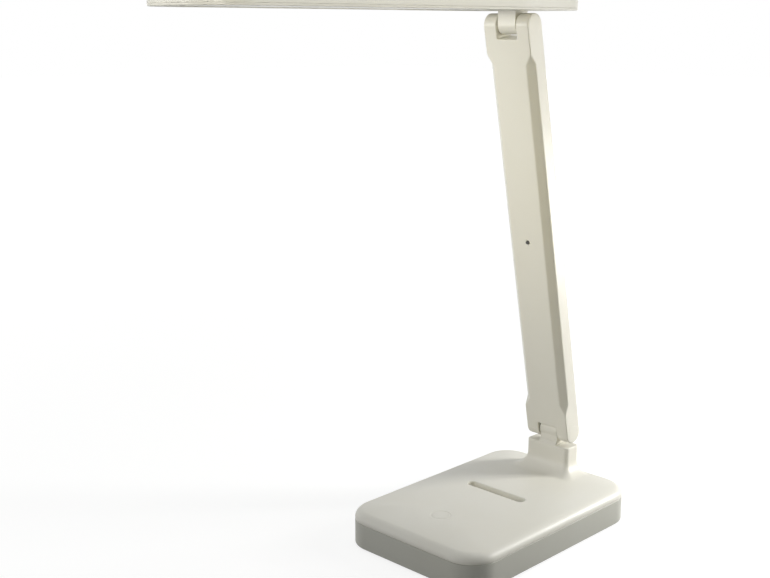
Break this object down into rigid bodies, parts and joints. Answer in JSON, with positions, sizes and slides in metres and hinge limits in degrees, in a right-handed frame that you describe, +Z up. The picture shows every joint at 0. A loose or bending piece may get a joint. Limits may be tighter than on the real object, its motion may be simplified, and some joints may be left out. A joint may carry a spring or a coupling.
{
  "type": "folding led desk lamp",
  "caption": "Folding desk lamp: domed weighted base with phone groove and touch ring, slim chamfered arm and flat edge-lit light head on two friction hinges.",
  "frame": {"origin": "middle of the flat underside of the anti-slip pad, on the surface the lamp stands on", "axes": "+Z up, -Y to the front of the lamp, +X to its right seen from behind; both hinge axes run along X"},
  "size_m": [0.102, 0.2975, 0.3196],
  "materials": {
    "shell_ivory": "fine satin moulded ABS",
    "shell_lower": "fine satin moulded ABS",
    "pad_rubber": "matt silicone rubber",
    "steel_part": "zinc plated steel",
    "aluminium_part": "rolled sheet",
    "brass_part": "bare brass",
    "cell_foil": "foil laminate pouch",
    "board_green": "solder mask",
    "black_part": "moulded black nylon and epoxy",
    "lead_red": "PVC wire sheath",
    "milky_panel": "milky diffusing acrylic",
    "clear_guide": "clear acrylic with dots",
    "white_sheet": "white reflector film",
    "chip_yellow": "phosphor and white package"
  },
  "bodies": {
    "base": {"anti_slip_pad": "pad_rubber", "base_bottom_shell": "shell_lower", "base_top_cover": "shell_ivory", "base_weight_plate": "steel_part", "battery_cell": "cell_foil", "main_circuit_board": "board_green", "board_components": "black_part", "board_standoffs": "brass_part", "board_screws": "steel_part", "usb_c_socket": "steel_part", "touch_electrode": "brass_part", "base_screws": "steel_part", "neck_knuckle": "shell_ivory", "neck_knuckle_screws": "steel_part", "neck_back_cover": "shell_ivory"},
    "arm": {"arm_front_shell": "shell_ivory", "arm_back_cover": "shell_ivory", "arm_stiffener": "steel_part", "arm_lead": "lead_red", "arm_screws": "steel_part", "head_rest_buffer": "pad_rubber", "lower_hinge_pin": "steel_part", "lower_hinge_nut": "steel_part", "lower_friction_washers": "black_part", "lower_hinge_caps": "shell_ivory", "upper_hinge_pin": "steel_part", "upper_hinge_nut": "steel_part", "upper_friction_washers": "black_part", "upper_hinge_caps": "shell_ivory"},
    "head": {"head_top_shell": "shell_ivory", "head_bottom_bezel": "shell_ivory", "diffuser_panel": "milky_panel", "light_guide": "clear_guide", "reflector_sheet": "white_sheet", "head_back_plate": "aluminium_part", "led_strips": "white_sheet", "led_chips": "chip_yellow", "head_knuckle": "shell_ivory", "head_knuckle_screws": "steel_part", "head_screws": "steel_part"}
  },
  "joints": [
    {"name": "arm_fold", "type": "hinge", "parent": "base", "child": "arm", "pos_m": [0, 0.0603, 0.05], "axis": [1, 0, 0], "range_deg": [-15, 78.5]},
    {"name": "head_tilt", "type": "hinge", "parent": "arm", "child": "head", "pos_m": [0, 0.00946, 0.29988], "axis": [1, 0, 0], "range_deg": [-45, 101.5]}
  ]
}
